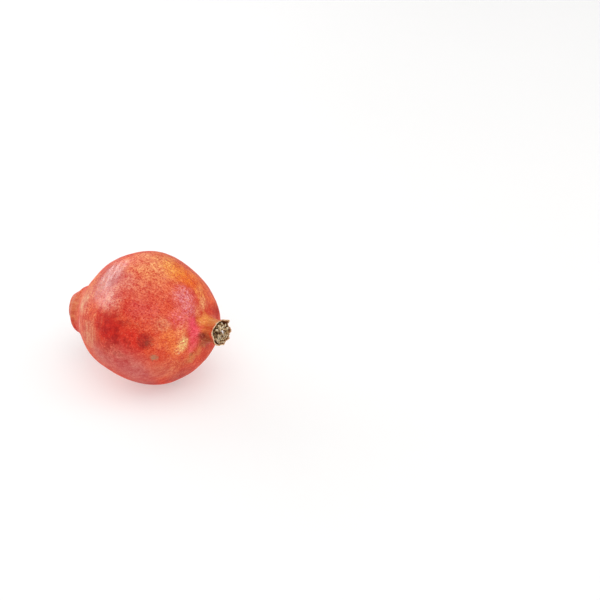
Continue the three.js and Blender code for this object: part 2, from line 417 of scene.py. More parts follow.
def make_rind():
    """The fine skin, from the stem pit over the belly and the crown's torn edge to the cup's floor."""
    a, radius, turn, span = rind_grid()
    relief = rind_relief(a, radius, turn, span)
    shown = np.clip((radius - WAVES_FROM) / (WAVES_FULL - WAVES_FROM), 0, 1)
    wave = 1 + sum(share * cos_deg(n * (turn - phase)) for n, share, phase in WAVES) * shown
    radius = (radius * wave + relief) * SKIN_SHARE
    rise, curl = (np.broadcast_to(values, a.shape) for values in crown_edge(turn[0]))
    share = np.clip((a - SEPALS_FROM) / (CROWN_RIM - SEPALS_FROM), 0, None)
    a = (a + rise * share) * SKIN_SHARE
    radius = np.clip(radius + curl * share**2, 0, None)
    a, b, c = push_facets(a, radius * cos_deg(turn), radius * sin_deg(turn))
    points = place(a, b, c)
    height = points[..., 2]
    points[..., 2] = (height + np.sqrt(height**2 + REST_SOFTNESS**2)) / 2
    rind = closed_grid("rind_skin", points)
    spans = np.concatenate([span[:1, 0], span[1:-1].reshape(-1), span[-1:, 0]])
    set_attribute(rind, "span", spans)
    return rind


class Heap:
    """Many small closed shapes gathered in one mesh, each with a tone of its own for the material."""

    def __init__(self):
        self.vertices = []
        self.faces = []
        self.tones = []

    def add(self, points, faces, tone):
        start = len(self.vertices)
        self.vertices.extend(points)
        self.faces.extend(tuple(start + i for i in face) for face in faces)
        self.tones.extend([tone] * len(points))

    def build(self, name):
        a, b, c = np.array(self.vertices).T
        thing = mesh_object(name, place(a, b, c) * MM, self.faces)
        set_attribute(thing, "tone", self.tones)
        return thing


def tube_faces(rings, sides):
    """The faces of a tube made of rings of points, closed at both ends."""
    faces = []
    for i in range(rings - 1):
        row, after = i * sides, (i + 1) * sides
        for j in range(sides):
            k = (j + 1) % sides
            faces.append((row + j, row + k, after + k, after + j))
    faces.append(tuple(reversed(range(sides))))
    faces.append(tuple((rings - 1) * sides + j for j in range(sides)))
    return faces


def closed_tube(path, radii, sides, squash=1.0):
    """Points and faces of a tube with round or flattened section along a path, closed at both ends."""
    path = np.array(path, float)
    ahead = np.gradient(path, axis=0)
    ahead /= np.linalg.norm(ahead, axis=1)[:, None]
    across = np.cross(ahead, ASKEW)
    across /= np.linalg.norm(across, axis=1)[:, None]
    other = np.cross(ahead, across)
    turn = (np.arange(sides) * TAU / sides)[None, :, None]
    radii = np.array(radii)[:, None, None]
    rings = (
        path[:, None]
        + np.cos(turn) * across[:, None] * radii
        + np.sin(turn) * other[:, None] * radii * squash
    )
    return list(rings.reshape(-1, 3)), tube_faces(len(path), sides)


def curve_through(points, steps):
    """A smooth curve through a few points."""
    return spline_at(points, np.linspace(0, len(points) - 1, steps))


def clump_tone(point, rng):
    """A tone that neighbours share in part, so that light and dark stamens lie in clumps."""
    clump = CLUMP_CONTRAST * noise.noise(Vector(point) / CLUMP_SIZE)
    return float(np.clip(0.5 + clump + rng.uniform(-TONE_JITTER, TONE_JITTER), 0, 1))


def anther(heap, end, ahead, rng):
    """A dry anther: a curled bean that is narrow at both ends, with a groove between its two lobes."""
    length = rng.uniform(*ANTHER_LENGTH)
    width = rng.uniform(*ANTHER_WIDTH)
    side = np.cross(ahead, rng.normal(size=3))
    side /= np.linalg.norm(side)
    lift = np.cross(ahead, side)
    curl = rng.uniform(*ANTHER_CURL)
    turn = np.arange(ANTHER_SIDES) * TAU / ANTHER_SIDES
    points = []
    for i in range(ANTHER_ROWS + 1):
        t = i / ANTHER_ROWS
        # The thickness follows half a wave that starts and ends a little open
        radius = width / 2 * math.sin(math.pi * (0.06 + 0.88 * t)) ** 0.6
        middle = end + ahead * (t - 0.35) * length + side * curl * length * (t - 0.5) ** 2 * 2
        groove = 1 - ANTHER_GROOVE * np.abs(np.cos(turn)) ** 3
        for j in range(ANTHER_SIDES):
            away = math.cos(turn[j]) * side * ANTHER_FLATNESS + math.sin(turn[j]) * lift
            points.append(middle + away * radius * groove[j])
    heap.add(points, tube_faces(ANTHER_ROWS + 1, ANTHER_SIDES), clump_tone(end, rng))


def add_standing_stamens(threads, anthers, rng):
    """Curved filaments all over the cup's floor, each with an anther on its end."""
    for i in range(STAMENS):
        spread = math.sqrt((i + 0.5) / STAMENS)
        turn = i * GOLDEN_ANGLE + rng.uniform(-STAMEN_JITTER, STAMEN_JITTER)
        foot = TUFT_FOOT * spread
        fuller = TUFT_FULLER * spread * max(0, cos_deg(turn - TUFT_FULLER_TURN))
        head = TUFT_HEAD * spread + fuller + rng.uniform(-TUFT_JITTER, TUFT_JITTER)
        top = TUFT_TOP - TUFT_UNEVEN * rng.random() - TUFT_DOME * spread**2
        lean = rng.uniform(-STAMEN_LEAN, STAMEN_LEAN)
        knots = [
            polar(TUFT_ROOT, foot, turn),
            polar((TUFT_ROOT + top) / 2, foot * 0.5 + head * 0.62, turn + lean / 3),
            polar(top, head, turn + lean),
        ]
        path = curve_through(knots, THREAD_STEPS)
        path[1:] += rng.normal(0, THREAD_WAVER, (THREAD_STEPS - 1, 3))
        radii = THREAD_RADIUS * np.linspace(*THREAD_TAPER, THREAD_STEPS)
        threads.add(*closed_tube(path, radii, THREAD_SIDES, THREAD_FLATNESS), rng.uniform(0, 1))
        ahead = path[-1] - path[-2]
        ahead = ahead + rng.normal(0, ANTHER_TILT, 3) * np.linalg.norm(ahead)
        anther(anthers, path[-1], ahead / np.linalg.norm(ahead), rng)


def add_loose_threads(threads, rng):
    """Short bowed threads that lie loose in the top of the tuft."""
    for _ in range(LOOSE_THREADS):
        turn = rng.uniform(0, 360)
        depth = rng.uniform(*LOOSE_DEPTH)
        middle = polar(TUFT_TOP - depth, rng.uniform(0, LOOSE_SPREAD), turn)
        bow = rng.normal(0, 1, 3) * LOOSE_BOW
        reach = rng.normal(0, 1, 3) * LOOSE_AIM
        reach *= rng.uniform(*LOOSE_HALF_LENGTH) / np.linalg.norm(reach)
        path = curve_through([middle - reach, middle + bow * 0.3, middle + reach], THREAD_STEPS)
        radii = [LOOSE_RADIUS] * THREAD_STEPS
        threads.add(*closed_tube(path, radii, THREAD_SIDES), rng.uniform(*LOOSE_TONE))


def make_stamens():
    """The dried stamens that fill the crown, as one mesh of filaments and one of anthers."""
    rng = np.random.default_rng(STAMEN_SEED)
    threads, anthers = Heap(), Heap()
    add_standing_stamens(threads, anthers, rng)
    add_loose_threads(threads, rng)
    return threads.build("filaments"), anthers.build("anthers")


def make_style():
    """The withered style among the stamens, bent over at its end, with a swollen tip."""
    heap = Heap()
    path = curve_through([polar(*knot) for knot in STYLE_PATH], STYLE_STEPS)
    radii = np.interp(np.linspace(0, 1, STYLE_STEPS), *zip(*STYLE_RADII))
    heap.add(*closed_tube(path, radii, STYLE_SIDES, STYLE_FLATNESS), 1.0)
    return heap.build("style")


def lathe_object(name, profile, rows, columns, relief):
    """A closed turned body in straight coordinates, with relief(a, turn, radius) added to its radius."""
    outline = curve_through(profile, rows)
    turn = np.arange(columns) * 360 / columns
    a, turn = np.meshgrid(outline[:, 0], turn, indexing="ij")
    radius = np.repeat(np.clip(outline[:, 1:], 0, None), columns, axis=1)
    radius = np.clip(radius + relief(a, turn, radius) * np.minimum(radius, 1), 0, None)
    return closed_grid(name, place(a, radius * cos_deg(turn), radius * sin_deg(turn)))


def make_stamen_base():
    """The withered disc that the stamens grow from, with the folds that they leave in it."""
    def folds(a, turn, radius):
        (coarse, few), (fine, many) = DISC_FOLDS
        return coarse * cos_deg(few * turn) + fine * cos_deg(many * turn + 60 * a)

    return lathe_object("stamen_base", DISC_PROFILE, 40, 96, folds)


def make_stem():
    """The clipped end of the woody stem, ridged along its length, with a rough cut face."""
    def bark(a, turn, radius):
        (coarse, few), (fine, many) = BARK_RIDGES
        side = np.clip((radius - 2.2) / 0.5, 0, 1)
        ridges = coarse * cos_deg(few * turn + 8 * np.sin(3 * a)) + fine * cos_deg(many * turn + 30 * a)
        return side * ridges - BARK_DEPTH * side

    return lathe_object("stem", STUB_PROFILE, 64, 144, bark)


# The camera and lights

VIEW_AZIMUTH = 27.3
VIEW_ELEVATION = 33.0
VIEW_DISTANCE = 1.0
FRAME_PIXELS = 600
BELLY_PIXEL = (150.1, 318.6)  # where the belly's middle shows in the photo
METRES_PER_PIXEL = 0.0006738  # at the belly's middle, from its width of 90 mm
BELLY_MIDDLE = (0, 0, 0.044)
SENSOR = 36.0

# The lights as (name, azimuth, elevation, distance, width, height, radiance, colour), and the sky
LIGHTS = [
    ("window_left", -100, 18, 1.2, 1.3, 0.4, 3.9, (0.98, 0.98, 1.0)),
    ("overhead", 60, 74, 1.9, 2.2, 2.2, 1.25, (1.0, 0.99, 0.97)),
    ("front_fill", 24, 52, 2.2, 2.2, 1.2, 0.9, (1.0, 0.99, 0.98)),
    ("window_right", 112, 46, 1.3, 0.5, 0.45, 1.4, (1.0, 0.97, 0.98)),
]
LIGHT_TARGET = (0, 0, 0.045)
SKY_COLOUR = (1.0, 0.99, 0.98, 1)
SKY_STRENGTH = 0.4

# The floor's flat part, the curve up to its wall and the wall's height, in metres
BACKDROP_FLAT = 4.5
BACKDROP_CURVE = 1.3
BACKDROP_HEIGHT = 1.6
BACKDROP_STEPS = 12
BACKDROP_SIDES = 96


def direction(azimuth, elevation):
    """The way from the fruit to a camera or light. Azimuth 0 is towards -Y, and 90 towards +X."""
    azimuth, elevation = math.radians(azimuth), math.radians(elevation)
    return Vector((
        math.sin(azimuth) * math.cos(elevation),
        -math.cos(azimuth) * math.cos(elevation),
        math.sin(elevation),
    ))


def add_camera():
    back = direction(VIEW_AZIMUTH, VIEW_ELEVATION)
    azimuth = math.radians(VIEW_AZIMUTH)
    right = Vector((math.cos(azimuth), math.sin(azimuth), 0))
    up = back.cross(right)
    aside = (BELLY_PIXEL[0] - FRAME_PIXELS / 2) * METRES_PER_PIXEL
    below = (BELLY_PIXEL[1] - FRAME_PIXELS / 2) * METRES_PER_PIXEL
    camera = bpy.data.objects.new("camera", bpy.data.cameras.new("camera"))
    camera.data.sensor_width = SENSOR
    camera.data.lens = SENSOR * VIEW_DISTANCE / (METRES_PER_PIXEL * FRAME_PIXELS)
    camera.data.clip_start = 0.01
    stand = Vector(BELLY_MIDDLE) + VIEW_DISTANCE * back - aside * right + below * up
    turned = Matrix((right, up, back)).transposed().to_4x4()
    camera.matrix_world = Matrix.Translation(stand) @ turned
    bpy.context.scene.collection.objects.link(camera)
    bpy.context.scene.camera = camera


def add_softbox(name, azimuth, elevation, distance, width, height, radiance, colour):
    """A rectangular soft light that faces the fruit."""
    towards = direction(azimuth, elevation)
    data = bpy.data.lights.new(name, "AREA")
    data.shape = "RECTANGLE"
    data.size, data.size_y = width, height
    data.energy = radiance * math.pi * width * height
    data.color = colour
    light = bpy.data.objects.new(name, data)
    light.location = Vector(LIGHT_TARGET) + distance * towards
    light.rotation_euler = towards.to_track_quat("Z", "Y").to_euler()
    bpy.context.scene.collection.objects.link(light)


def make_backdrop():
    """A round floor that curves up into a wall all round, far behind the lights."""
    profile = [(0, 0), (BACKDROP_FLAT, 0)]
    for step in range(1, BACKDROP_STEPS + 1):
        angle = math.pi / 2 * step / BACKDROP_STEPS
        radius = BACKDROP_FLAT + BACKDROP_CURVE * math.sin(angle)
        profile.append((radius, BACKDROP_CURVE * (1 - math.cos(angle))))
    profile.append((BACKDROP_FLAT + BACKDROP_CURVE, BACKDROP_HEIGHT))
    vertices = [(0, 0, 0)]
    faces = []
    for i, (radius, height) in enumerate(profile[1:]):
        row, below = 1 + i * BACKDROP_SIDES, 1 + (i - 1) * BACKDROP_SIDES
        for j in range(BACKDROP_SIDES):
            angle = TAU * j / BACKDROP_SIDES
            vertices.append((radius * math.cos(angle), radius * math.sin(angle), height))
            k = (j + 1) % BACKDROP_SIDES
            faces.append((0, row + j, row + k) if i == 0 else (below + j, row + j, row + k, below + k))
    return mesh_object("floor", vertices, faces)


def add_studio():
    scene = bpy.context.scene
    scene.view_settings.view_transform = "Standard"
    world = bpy.data.worlds.new("studio")
    world.use_nodes = True
    sky = world.node_tree.nodes["Background"]
    sky.inputs["Color"].default_value = SKY_COLOUR
    sky.inputs["Strength"].default_value = SKY_STRENGTH
    scene.world = world
    for light in LIGHTS:
        add_softbox(*light)
    floor = make_backdrop()
    floor.data.materials.append(floor_material())


# Materials

def linear(red, green, blue):
    """A display colour from 0 to 255 as linear light."""
    def one(value):
        value /= 255
        return value / 12.92 if value <= 0.04045 else ((value + 0.055) / 1.055) ** 2.4
    return (one(red), one(green), one(blue), 1.0)


class Shading:
    """A material's node tree, with short calls for the nodes that the materials below share."""

    def __init__(self, name):
        self.material = bpy.data.materials.new(name)
        self.material.use_nodes = True
        self.tree = self.material.node_tree
        self.shader = self.tree.nodes["Principled BSDF"]
        self.place = self.node("ShaderNodeTexCoord").outputs["Object"]

    def node(self, kind, **settings):
        node = self.tree.nodes.new(kind)
        for key, value in settings.items():
            setattr(node, key, value)
        return node

    def feed(self, socket, value):
        if isinstance(value, bpy.types.NodeSocket):
            self.tree.links.new(value, socket)
        else:
            socket.default_value = value

    def set(self, name, value):
        """Sets an input of the shader itself to a number, or links what makes it."""
        self.feed(self.shader.inputs[name], value)

    def math(self, operation, *values):
        node = self.node("ShaderNodeMath", operation=operation)
        for socket, value in zip(node.inputs, values):
            self.feed(socket, value)
        return node.outputs[0]

    def ramp(self, value, low, high, out_low=0.0, out_high=1.0):
        """Maps low..high smoothly onto out_low..out_high."""
        node = self.node("ShaderNodeMapRange", interpolation_type="SMOOTHSTEP")
        for socket, number in zip(node.inputs[:5], (value, low, high, out_low, out_high)):
            self.feed(socket, number)
        return node.outputs[0]

    def mix(self, first, second, share, blend="MIX"):
        node = self.node("ShaderNodeMix", data_type="RGBA", blend_type=blend)
        self.feed(node.inputs[0], share)
        self.feed(node.inputs[6], first)
        self.feed(node.inputs[7], second)
        return node.outputs[2]

    def over(self, colour, paint, share):
        """Lays a display colour over a colour."""
        return self.mix(colour, linear(*paint), share)

    def blend(self, dark, light, share):
        """A colour between two display colours."""
        return self.mix(linear(*dark), linear(*light), share)

    def greatest(self, values):
        most = 0.0
        for value in values:
            most = self.math("MAXIMUM", most, value)
        return most

    def times(self, *values):
        """The product of several values."""
        product = values[-1]
        for value in reversed(values[:-1]):
            product = self.math("MULTIPLY", value, product)
        return product

    def texture(self, node, size, place=None, **numbers):
        """Sets a texture node to features of a size in metres."""
        self.feed(node.inputs["Vector"], place or self.place)
        for name, value in {"Scale": 1 / size, **numbers}.items():
            node.inputs[name].default_value = value
        return node.outputs

    def noise(self, size, detail, rough, place, seed):
        """Noise from 0 to 1."""
        node = self.node("ShaderNodeTexNoise", noise_dimensions="4D")
        return self.texture(node, size, place, W=seed, Detail=detail, Roughness=rough)["Fac"]

    def shifted(self, size, reach, detail, rough):
        """The place moved about by noise, so that what is drawn there gets an uneven edge."""
        node = self.node("ShaderNodeTexNoise", noise_dimensions="3D")
        colour = self.texture(node, size, Detail=detail, Roughness=rough)["Color"]
        offset = self.vector("SUBTRACT", colour, (0.5, 0.5, 0.5))
        return self.vector("ADD", self.place, self.vector("MULTIPLY", offset, (reach,) * 3))

    def off_cells(self, size, seed):
        """The distance to the nearest of many strewn points, as a share of their spacing."""
        node = self.node("ShaderNodeTexVoronoi", voronoi_dimensions="4D")
        return self.texture(node, size, W=seed)["Distance"]

    def pattern(self, size, detail, rough, pace, seed):
        """Noise that changes along the fruit at some pace compared with round it, or None for evenly."""
        place = None if pace is None else self.meridians(pace)
        return self.noise(size, detail, rough, place, seed)

    def vector(self, operation, first, second):
        node = self.node("ShaderNodeVectorMath", operation=operation)
        self.feed(node.inputs[0], first)
        self.feed(node.inputs[1], second)
        return node.outputs["Value" if operation in ("DISTANCE", "LENGTH") else "Vector"]

    def straight(self):
        """The place in straight fruit coordinates, in metres, without the bends at the ends."""
        moved = self.vector("SUBTRACT", self.place, (0, 0, CENTRE_HEIGHT * MM))
        turned = self.node("ShaderNodeVectorRotate", rotation_type="Y_AXIS")
        turned.inputs["Angle"].default_value = math.radians(LEAN)
        self.feed(turned.inputs["Vector"], moved)
        return turned.outputs["Vector"]

    def meridians(self, pace):
        """Coordinates along and round the fruit, in which noise changes along it at the given pace."""
        split = self.node("ShaderNodeSeparateXYZ")
        self.feed(split.inputs[0], self.straight())
        flat = self.node("ShaderNodeCombineXYZ")
        self.feed(flat.inputs[1], split.outputs[1])
        self.feed(flat.inputs[2], split.outputs[2])
        radius = self.vector("LENGTH", flat.outputs[0], (0, 0, 0))
        angle = self.math("ARCTAN2", split.outputs[0], radius)
        turn = self.node("ShaderNodeVectorMath", operation="NORMALIZE")
        self.feed(turn.inputs[0], flat.outputs[0])
        ball = self.vector("MULTIPLY", turn.outputs["Vector"], (BELLY_RADIUS * MM,) * 3)
        along = self.node("ShaderNodeCombineXYZ")
        self.feed(along.inputs[0], self.math("MULTIPLY", angle, BELLY_RADIUS * MM * pace))
        return self.vector("ADD", ball, along.outputs[0])

    def mottle(self, colour, share, dark, light):
        """Multiplies a colour by one tint where share is 0 and by another where it is 1."""
        return self.mix(colour, self.mix((*dark, 1), (*light, 1), share), 1.0, "MULTIPLY")

    def attribute(self, name):
        return self.node("ShaderNodeAttribute", attribute_name=name).outputs["Fac"]

    def bump(self, height, distance, strength, under=None):
        node = self.node("ShaderNodeBump")
        node.inputs["Strength"].default_value = strength
        node.inputs["Distance"].default_value = distance
        self.feed(node.inputs["Height"], height)
        if under is not None:
            self.feed(node.inputs["Normal"], under)
        return node.outputs["Normal"]


# The white floor's two greys, the faint pattern between them and the light that it gives of itself. A
# pattern is (size in metres, detail, roughness, pace, seed), where the pace says how fast it changes
# along the fruit compared with round it, and None means in all directions alike.
FLOOR_GREYS = ((206, 206, 206), (209, 209, 209))
FLOOR_CLOUDS = (0.35, 2.0, 0.55, None, 0.0)
FLOOR_GLOW = 0.62


def floor_material():
    shading = Shading("white_table")
    colour = shading.blend(*FLOOR_GREYS, shading.pattern(*FLOOR_CLOUDS))
    shading.set("Base Color", colour)
    shading.set("Roughness", 0.7)
    shading.set("Specular IOR Level", 0.2)
    shading.set("Emission Color", colour)
    shading.set("Emission Strength", FLOOR_GLOW)
    return shading.material


# Patches of colour on the rind: (a, turn, radius in mm, softness, strength, grain, colour). A patch of
# grain 0 is an even wash of its colour, and one of grain 1 is laid on in specks.
# Most patches are the rind's own colours; the ones that are painted light or shade are noted above them
PATCHES = [
    (-54, 140, 17, 0.8, 0.95, 0.3, (214, 106, 70)),
    (-58, 195, 9, 0.9, 0.6, 0.2, (156, 68, 48)),
    (-34, 133, 17, 0.9, 0.85, 0.3, (230, 144, 116)),
    (-22, 168, 16, 0.9, 0.8, 0.3, (220, 124, 100)),
    (-33, 108, 13, 0.8, 0.8, 0.4, (226, 100, 52)),
    (-14, 110, 20, 0.8, 0.8, 0.4, (178, 76, 68)),
    (12, 92, 24, 0.9, 0.9, 0.5, (250, 149, 100)),
    (2, 90, 14, 0.9, 0.8, 0.4, (248, 150, 112)),
    # The next two pale pink patches are painted sheen: the lower end of the highlight band, laid into the
    # colour
    (2, 116, 13, 0.9, 0.8, 0.6, (236, 140, 120)),
    (-5, 134, 14, 0.8, 0.75, 0.5, (228, 132, 120)),
    (14, 120, 13, 0.9, 0.7, 0.6, (236, 118, 92)),
    (25, 113, 14, 0.9, 0.7, 0.6, (234, 104, 76)),
    (15, 137, 12, 0.9, 0.7, 0.7, (228, 88, 82)),
    (24, 138, 13, 0.9, 0.7, 0.7, (222, 78, 74)),
    (24, 82, 14, 0.9, 0.9, 0.6, (254, 150, 66)),
    (31, 74, 14, 0.8, 0.9, 0.5, (246, 104, 30)),
    (34, 55, 13, 0.9, 0.9, 0.3, (246, 106, 42)),
    (40, 70, 9, 0.9, 0.9, 0.6, (255, 156, 84)),
    (-7, 158, 15, 0.65, 0.9, 0.2, (212, 34, 22)),
    (4, 161, 17, 0.7, 0.9, 0.2, (208, 28, 21)),
    (15, 167, 13, 0.7, 0.9, 0.2, (230, 52, 36)),
    (21, 172, 9, 0.9, 0.7, 0.2, (214, 44, 28)),
    (31, 149, 9, 0.9, 0.8, 0.5, (216, 110, 82)),
    # The next two lilac patches are partly the rind's own bloom, partly painted highlight from the light
    # at the right
    (36, 104, 12, 0.9, 0.7, 0.9, (236, 140, 150)),
    (41.5, 117, 9, 0.9, 0.7, 0.9, (240, 140, 152)),
    (38, 136, 10, 0.9, 0.7, 0.8, (240, 112, 122)),
    (43, 74, 7, 0.9, 0.8, 0.7, (255, 176, 122)),
    (43, 98, 6, 0.9, 0.7, 0.7, (250, 144, 104)),
    (36, 165, 10, 0.9, 0.9, 0.4, (246, 122, 62)),
    (37, 182, 10, 0.9, 0.8, 0.4, (242, 110, 58)),
    (43.5, 138, 8, 0.8, 0.95, 0.35, (255, 92, 114)),
    (44.6, 158, 7, 0.8, 0.95, 0.35, (255, 92, 108)),
    (44.0, 184, 8, 0.8, 0.85, 0.4, (255, 90, 106)),
    (40, 155, 8, 0.9, 0.6, 0.7, (252, 146, 98)),
    (40.8, 172, 6.2, 0.9, 0.95, 0.7, (255, 208, 138)),
    (38.2, 184, 5, 0.9, 0.6, 0.8, (252, 166, 116)),
    # The next three pinkish grey patches on the lower front are painted reflection of the white floor
    (5, 187, 20, 0.9, 0.9, 0.1, (214, 102, 94)),
    (-12, 186, 15, 0.9, 0.8, 0.2, (208, 104, 96)),
    (14, 200, 20, 0.9, 0.9, 0.1, (206, 90, 86)),
    (28, 208, 14, 0.9, 0.8, 0.3, (214, 98, 76)),
    (36, 212, 10, 0.9, 0.7, 0.4, (222, 108, 68)),
    (42, 214, 8, 0.9, 0.8, 0.6, (214, 126, 72)),
    # The next two darker patches lie along the fruit's lower edge as painted shade
    (8, 224, 14, 0.8, 0.6, 0.1, (172, 66, 68)),
    (30, 238, 14, 0.8, 0.6, 0.1, (176, 58, 56)),
    (42, 40, 9, 0.8, 0.9, 0.5, (255, 112, 66)),
    (43.0, 18, 9, 0.9, 0.85, 0.1, (176, 18, 10)),
    (-10, 285, 26, 0.9, 0.8, 0.4, (226, 112, 66)),
    (12, 330, 24, 0.9, 0.8, 0.4, (240, 124, 60)),
    (-22, 20, 22, 0.9, 0.8, 0.4, (224, 104, 78)),
    (20, 10, 17, 0.8, 0.8, 0.5, (248, 150, 70)),
    (-26, 345, 18, 0.9, 0.8, 0.5, (244, 150, 96)),
    (2, 352, 15, 0.9, 0.8, 0.6, (250, 166, 98)),
    (-2, 312, 17, 0.6, 0.9, 0.2, (204, 32, 26)),
    (-14, 22, 13, 0.7, 0.8, 0.3, (202, 40, 32)),
    (26, 300, 16, 0.9, 0.8, 0.6, (236, 124, 118)),
    (34, 332, 13, 0.9, 0.6, 0.7, (252, 170, 104)),
    (39, 300, 8, 0.8, 0.8, 0.5, (244, 100, 104)),
    (38, 268, 11, 0.9, 0.7, 0.4, (206, 96, 62)),
    (-30, 262, 16, 0.9, 0.8, 0.4, (226, 124, 94)),
    (14, 264, 15, 0.8, 0.7, 0.3, (190, 88, 74)),
    (-36, 44, 14, 0.9, 0.7, 0.4, (236, 132, 88)),
    (0, 54, 17, 0.9, 0.7, 0.5, (236, 112, 70)),
    (-44, 330, 13, 0.9, 0.8, 0.4, (214, 116, 76)),
    (-54, 20, 12, 0.8, 0.8, 0.4, (204, 104, 68)),
    (-54, 270, 12, 0.8, 0.8, 0.4, (188, 88, 60)),
    (48, 100, 9, 0.6, 0.95, 0.3, (240, 142, 74)),
    (54, 95, 7, 0.6, 0.9, 0.3, (236, 150, 90)),
    (53, 140, 7, 0.6, 0.9, 0.3, (222, 110, 58)),
    # The next four patches make the tube's lower side dark brown-red: partly its own dry brown, partly
    # painted shade
    (52.6, 189, 6, 0.4, 0.95, 0.4, (172, 72, 42)),
    (49.4, 178, 3.4, 0.5, 0.8, 0.3, (146, 48, 34)),
    (55, 200, 6, 0.6, 0.9, 0.5, (166, 84, 48)),
    (50, 240, 9, 0.6, 0.9, 0.4, (166, 74, 46)),
    (50, 300, 9, 0.6, 0.8, 0.4, (196, 92, 56)),
    (50, 10, 9, 0.6, 0.8, 0.4, (220, 110, 62)),
    (44.8, 258, 5, 0.9, 0.6, 0.3, (182, 44, 44)),
]
# Small marks on the rind: (a, turn, length along the fruit in mm, width in mm, strength, colour)
# Most marks are scars and stains; the glints and the pale line in the knob's crease are painted
# highlights
MARKS = [
    (22.5, 166, 15, 15, 0.8, (146, 30, 30)),
    (20.5, 170, 5, 5, 0.5, (140, 22, 26)),
    (23, 168, 4, 5, 0.45, (124, 70, 52)),
    (-1, 152, 6, 5, 0.5, (160, 24, 30)),
    (-11, 153, 4, 4, 0.4, (170, 30, 28)),
    (26, 184, 10, 6.4, 0.9, (168, 134, 102)),
    (24.5, 187.5, 2.4, 1.8, 0.8, (120, 50, 36)),
    (37.9, 190, 4.4, 2.0, 0.85, (242, 208, 186)),
    (42.2, 207, 3.4, 5.0, 0.5, (148, 100, 56)),
    (43.6, 226, 2.2, 9, 0.5, (232, 160, 92)),
    (40.5, 222, 2.0, 8, 0.45, (226, 148, 84)),
    (44.7, 238, 1.2, 8, 0.6, (216, 148, 92)),
    # The next two tiny near-white marks are painted glints
    (5.9, 117, 0.8, 0.8, 1.0, (255, 236, 228)),
    (6.0, 119.4, 0.9, 1.0, 1.0, (255, 240, 232)),
    (-9, 184, 4, 4, 0.4, (168, 104, 78)),
    (49.6, 175, 2.2, 3.0, 0.7, (96, 32, 24)),
    # The next three pale marks along the knob's crease are partly pale scratches, partly painted
    # highlight in the crease
    (-38.4, 166, 1.6, 13, 0.65, (244, 214, 202)),
    (-36.0, 178, 2.6, 8, 0.35, (236, 176, 150)),
    (-41, 141, 2.2, 8, 0.35, (234, 172, 146)),
    (-43.5, 116, 3.6, 1.8, 0.7, (244, 214, 196)),
    (-39.5, 117, 4, 3.4, 0.6, (206, 70, 28)),
    (-53.5, 184, 5, 3, 0.3, (226, 160, 140)),
    (-2, 262, 5.2, 3.4, 0.7, (170, 128, 92)),
    (14, 305, 2.2, 7, 0.6, (150, 96, 58)),
    (-28, 330, 8, 3, 0.6, (186, 142, 100)),
    (10, 342, 1.6, 9, 0.55, (176, 122, 84)),
    (-6, 12, 5, 2.4, 0.6, (150, 60, 40)),
    (24, 28, 3, 2.2, 0.6, (196, 150, 112)),
    (-18, 292, 3, 6, 0.5, (140, 40, 34)),
    (30, 322, 2.4, 2.4, 0.6, (110, 56, 40)),
    (8, 30, 4, 3.4, 0.6, (132, 62, 40)),
    (-12, 60, 2.0, 2.0, 0.7, (120, 48, 36)),
]
# A faint ring, the shoulder by the stem and the reddest place: (a, turn, radius in mm)
RING_MARK = (31.5, 148.7, 3.3)
SHOULDER = (-28, 148, 27)
CRIMSON = (2, 163, 24)
# Where the colour lies evenly, with little grain: (a, turn, radius in mm)
CALM = [
    (2, 162, 18),
    (8, 205, 34),
    (-22, 186, 26),
    (-42, 145, 22),
    (-20, 305, 28),
    (16, 350, 16),
    (43, 20, 8),
]
# Where the wax on the rind is thick enough to shine: (a, turn, radius in mm, how much)
WAX = [(-11, 116, 25, 0.6), (38, 112, 12, 0.3), (-8, 290, 34, 0.7), (20, 340, 24, 0.5)]

# The rind's patterns, as (size in metres, detail, roughness, pace, seed)
BROAD_REDS = (0.03, 4, 0.6, None, 1.0)
PATCH_SPECKS = [(0.0012, 3, 0.65, None, seed) for seed in (20.0, 21.0, 22.0)]
MOTTLING = (0.006, 6, 0.65, 0.75, 2.0)
GRAIN = (0.0009, 4, 0.8, 0.8, 4.0)
PALE_SPECKS = (0.0007, 2, 0.6, None, 11.0)
DOT_FIELDS = (0.004, 2, 0.55, None, 18.0)
STROKES = (0.0009, 3, 0.6, 0.4, 12.0)
STREAKS = (0.011, 5, 0.7, 6.0, 14.0)
BLOTCHES = (0.0048, 6, 0.7, None, 15.0)
MARK_UNEVENNESS = (0.0012, 3, 0.7, None, 16.0)
TORN_FIBRES = (0.0015, 3, 0.55, None, 9.0)
CRUMBS = (0.0009, 3, 0.6, None, 10.0)
GLOSS = (0.004, 3, 0.55, None, 5.0)
GLINTS = (0.0013, 3, 0.7, 0.9, 17.0)
FINE_LINES = (0.0009, 3, 0.6, 0.8, 6.0)
DIMPLES = (0.0028, 3, 0.6, None, 7.0)
# Strewn pale dots as (spacing in metres, seed)
DOTS = (0.0024, 3.0)
# How places are moved about for patches and marks, as (size, reach, detail, roughness) in metres
PATCH_SHIFT = (0.013, 0.011, 3, 0.5)
MARK_SHIFT = (0.0024, 0.0042, 4, 0.65)

# Display colours, in pairs where a pattern goes from one to the other
REDS = ((218, 56, 36), (232, 88, 56))
SPECK_COLOUR = (250, 184, 152)
DOT_COLOUR = (252, 208, 182)
STROKE_COLOUR = (176, 22, 34)
STREAK_COLOUR = (204, 146, 104)
BLOTCH_COLOUR = (166, 24, 24)
RING_COLOUR = (240, 166, 122)
RIM_COLOURS = ((200, 142, 96), (252, 226, 190))
# The cup's inside is painted dark red-brown: partly its own colour, partly painted shade under the rim
CUP_BROWNS_AND_SHADE = ((84, 30, 16), (176, 112, 70))
